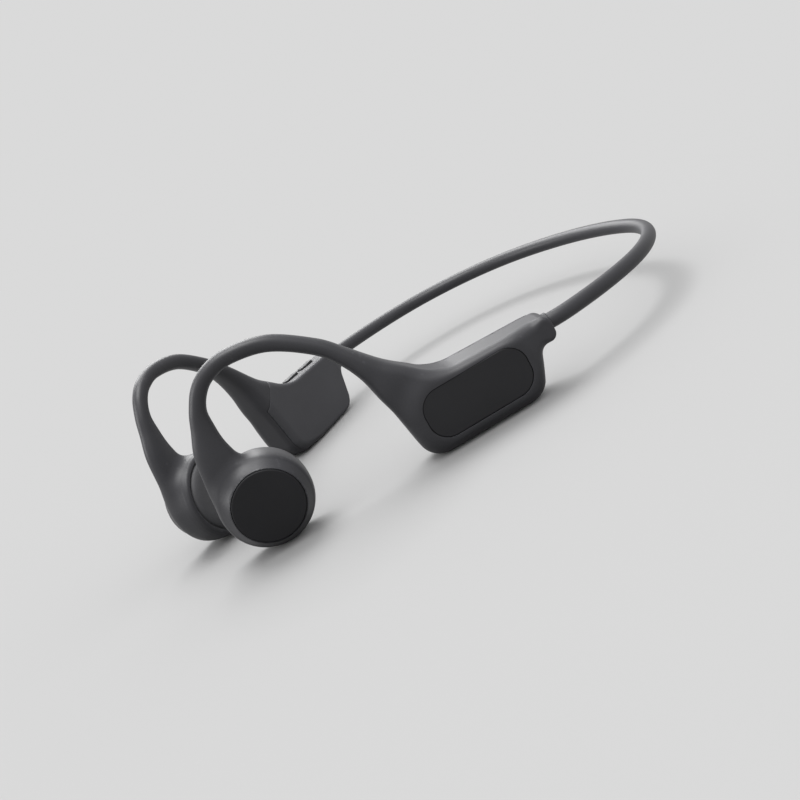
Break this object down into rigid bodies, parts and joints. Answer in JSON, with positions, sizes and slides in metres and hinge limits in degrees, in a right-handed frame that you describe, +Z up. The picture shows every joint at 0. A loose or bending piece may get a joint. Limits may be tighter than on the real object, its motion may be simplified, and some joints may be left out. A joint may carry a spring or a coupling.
{
  "type": "bone conduction headphones",
  "caption": "Open-ear bone conduction headphones: a springy neck band joins two ear hooks with round cheek pods and side housings with oval panels and keys.",
  "frame": {"origin": "middle of the whole object in plan, on the surface it stands on", "axes": "+Z up; the wearer faces -Y, so the neck band's back is at +Y; +X is the wearer's left ear"},
  "size_m": [0.1214, 0.1578, 0.05],
  "materials": {
    "soft_skin": "soft-touch matte silicone skin",
    "shell": "soft-touch matte",
    "cover": "fine matte texture",
    "panel": "satin",
    "disc": "fine matte",
    "pad": "soft matte silicone",
    "surround": "matte silicone",
    "collar": "matte",
    "key": "soft-touch matte",
    "titanium": "drawn titanium wire",
    "lead_jacket": "smooth insulated leads",
    "bracket": "moulded, matte",
    "steel": "nickel plated",
    "spring_steel": "etched leaf, bright",
    "magnet": "nickel plated",
    "copper": "enamelled copper winding",
    "board": "green solder mask",
    "chip": "moulded black",
    "switch": "moulded with metal cap",
    "cell": "foil pouch",
    "can": "bright metal can",
    "mesh": "blackened woven mesh",
    "port": "gloss black",
    "gold": "gold plated",
    "light": "translucent white"
  },
  "bodies": {
    "band_back": {"back_band_leads": "lead_jacket", "back_band_sleeve": "soft_skin", "back_band_wire": "titanium"},
    "left_arm": {"battery": "cell", "battery_board": "board", "button_board": "board", "button_switch": "switch", "left_band_collar": "collar", "left_band_leads": "lead_jacket", "left_band_sleeve": "soft_skin", "left_band_wire": "titanium", "left_contact_pad": "pad", "left_driver_bracket": "bracket", "left_driver_magnet": "magnet", "left_driver_spring": "spring_steel", "left_driver_top_plate": "steel", "left_driver_yoke": "steel", "left_ear_hook": "soft_skin", "left_hook_leads": "lead_jacket", "left_hook_wire": "titanium", "left_housing_shell": "shell", "left_inner_cover": "cover", "left_pad_surround": "surround", "left_pod_shell": "shell", "left_side_panel": "panel", "left_voice_coil": "copper"},
    "right_arm": {"bluetooth_chip": "chip", "charging_contacts": "gold", "charging_magnets": "magnet", "charging_port": "port", "main_board": "board", "microphone": "can", "microphone_mesh": "mesh", "right_band_collar": "collar", "right_band_leads": "lead_jacket", "right_band_sleeve": "soft_skin", "right_band_wire": "titanium", "right_contact_pad": "pad", "right_driver_bracket": "bracket", "right_driver_magnet": "magnet", "right_driver_spring": "spring_steel", "right_driver_top_plate": "steel", "right_driver_yoke": "steel", "right_ear_hook": "soft_skin", "right_hook_leads": "lead_jacket", "right_hook_wire": "titanium", "right_housing_shell": "shell", "right_inner_cover": "cover", "right_pad_surround": "surround", "right_pod_cap": "disc", "right_pod_shell": "shell", "right_side_panel": "panel", "right_voice_coil": "copper", "status_light": "light", "volume_down_switch": "switch", "volume_up_switch": "switch"},
    "multifunction_button": {"multifunction_button": "disc"},
    "volume_up_button": {"volume_up_button": "key"},
    "volume_down_button": {"volume_down_button": "key"}
  },
  "joints": [
    {"name": "left_band_flex", "type": "hinge", "parent": "band_back", "child": "left_arm", "pos_m": [0.02517, 0.07517, 0.01305], "axis": [0, 0.0287, 0.9996], "range_deg": [0, 22], "stiffness_Nm_per_rad": 0.35},
    {"name": "right_band_flex", "type": "hinge", "parent": "band_back", "child": "right_arm", "pos_m": [-0.02517, 0.07517, 0.01305], "axis": [0, -0.0287, -0.9996], "range_deg": [0, 22], "stiffness_Nm_per_rad": 0.35},
    {"name": "multifunction_press", "type": "slide", "parent": "left_arm", "child": "multifunction_button", "axis": [-0.9063, 0.4207, 0.0393], "range_m": [0, 0.00035], "stiffness_N_per_m": 1500},
    {"name": "volume_up_press", "type": "slide", "parent": "right_arm", "child": "volume_up_button", "axis": [0.0356, 0.0165, -0.9992], "range_m": [0, 0.0004], "stiffness_N_per_m": 1500},
    {"name": "volume_down_press", "type": "slide", "parent": "right_arm", "child": "volume_down_button", "axis": [0.0356, 0.0165, -0.9992], "range_m": [0, 0.0004], "stiffness_N_per_m": 1500}
  ]
}
